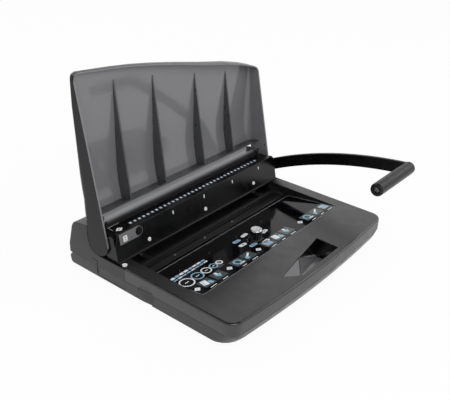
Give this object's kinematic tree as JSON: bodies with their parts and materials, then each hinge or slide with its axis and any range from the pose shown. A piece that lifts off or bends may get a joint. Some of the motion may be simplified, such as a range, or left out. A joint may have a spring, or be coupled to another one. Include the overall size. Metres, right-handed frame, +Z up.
{
  "type": "binding machine",
  "caption": "Desktop manual binding machine: square-hole punch row with wire closer, size dial, hinged ribbed cover, chip tray and a curved side lever with a cross grip.",
  "frame": {"origin": "middle of the box round the whole machine at rest, on the table under the feet", "axes": "+X along the punch row towards the lever side, -Y towards the user, +Z up"},
  "size_m": [0.383, 0.3338, 0.287],
  "materials": {
    "case_lower": "fine moulded texture",
    "case_upper": "fine moulded texture",
    "cover_grey": "smooth satin moulding",
    "cover_dark": "smooth satin moulding",
    "plate_black": "black powder coat",
    "lever_black": "black powder coat",
    "grip_grey": "satin",
    "steel": "ground",
    "zinc": "zinc plated",
    "bronze": "sintered",
    "peg_blue": "smooth",
    "label_black": "printed gloss film",
    "label_grey": "printed film",
    "white": "smooth",
    "knob_black": "fluted",
    "knob_silver": "spun",
    "nylon": "natural",
    "foot_rubber": "matte"
  },
  "bodies": {
    "case": {"base_tray": "case_lower", "deck_shell": "case_upper", "rear_housing": "case_upper", "front_plate": "plate_black", "peg_strip": "peg_blue", "die_plate": "steel", "stripper_plate": "steel", "throat_floor": "steel", "frame_brackets": "zinc", "shaft_bushes": "bronze", "hinge_pins": "zinc", "label_sheet": "label_black", "plate_label": "label_grey", "plate_screws": "white", "slot_tabs": "white", "groove_screws": "zinc", "corner_plug": "white", "stop_posts": "case_upper", "case_screws": "zinc", "feet": "foot_rubber"},
    "tray": {"chip_tray": "case_lower"},
    "lid": {"cover": "cover_grey", "cover_ribs": "cover_dark", "cover_flange": "cover_dark"},
    "lever": {"lever_arm": "lever_black", "lever_hub": "zinc", "hub_bolt": "zinc", "grip": "grip_grey", "grip_rod": "steel", "grip_cap": "grip_grey", "drive_shaft": "steel", "pinions": "steel"},
    "ram": {"ram_bar": "steel", "ram_racks": "steel", "punch_pins": "steel"},
    "closer": {"jaw_bar": "zinc", "jaw_arms": "steel"},
    "stop": {"stop_bar": "zinc", "stop_tongue": "steel", "stop_roller": "nylon"},
    "dial": {"dial_knob": "knob_black", "dial_cap": "knob_silver", "dial_spindle": "steel", "dial_cam": "nylon"},
    "selector": {"selector_knob": "knob_black"}
  },
  "joints": [
    {"name": "lever_pivot", "type": "hinge", "parent": "case", "child": "lever", "pos_m": [0.172, 0.12987, 0.03], "axis": [1, 0, 0], "range_deg": [-55, 20]},
    {"name": "cover_hinge", "type": "hinge", "parent": "case", "child": "lid", "pos_m": [-0.008, 0.10287, 0.058], "axis": [1, 0, 0], "range_deg": [0, 102]},
    {"name": "tray_slide", "type": "slide", "parent": "case", "child": "tray", "axis": [-1, 0, 0], "range_m": [0, 0.25]},
    {"name": "ram_slide", "type": "slide", "parent": "case", "child": "ram", "axis": [0, -1, 0], "range_m": [-0.01152, 0.00419]},
    {"name": "closer_slide", "type": "slide", "parent": "case", "child": "closer", "axis": [0, -1, 0], "range_m": [-0.01152, 0.00419]},
    {"name": "dial_turn", "type": "hinge", "parent": "case", "child": "dial", "pos_m": [-0.008, -0.02712, 0.04], "axis": [0, 0, 1], "range_deg": [0, 250.02]},
    {"name": "stop_slide", "type": "slide", "parent": "case", "child": "stop", "axis": [0, 1, 0], "range_m": [0, 0.008]},
    {"name": "selector_turn", "type": "hinge", "parent": "case", "child": "selector", "pos_m": [-0.14347, 0.07287, 0.0686], "axis": [0, -0.982, 0.1888], "range_deg": [0, 90]}
  ],
  "couplings": [
    {"joint": "ram_slide", "follows": "lever_pivot", "m_per_rad": 0.012},
    {"joint": "closer_slide", "follows": "lever_pivot", "m_per_rad": 0.012},
    {"joint": "dial_turn", "follows": "stop_slide", "rad_per_m": 545.42}
  ]
}
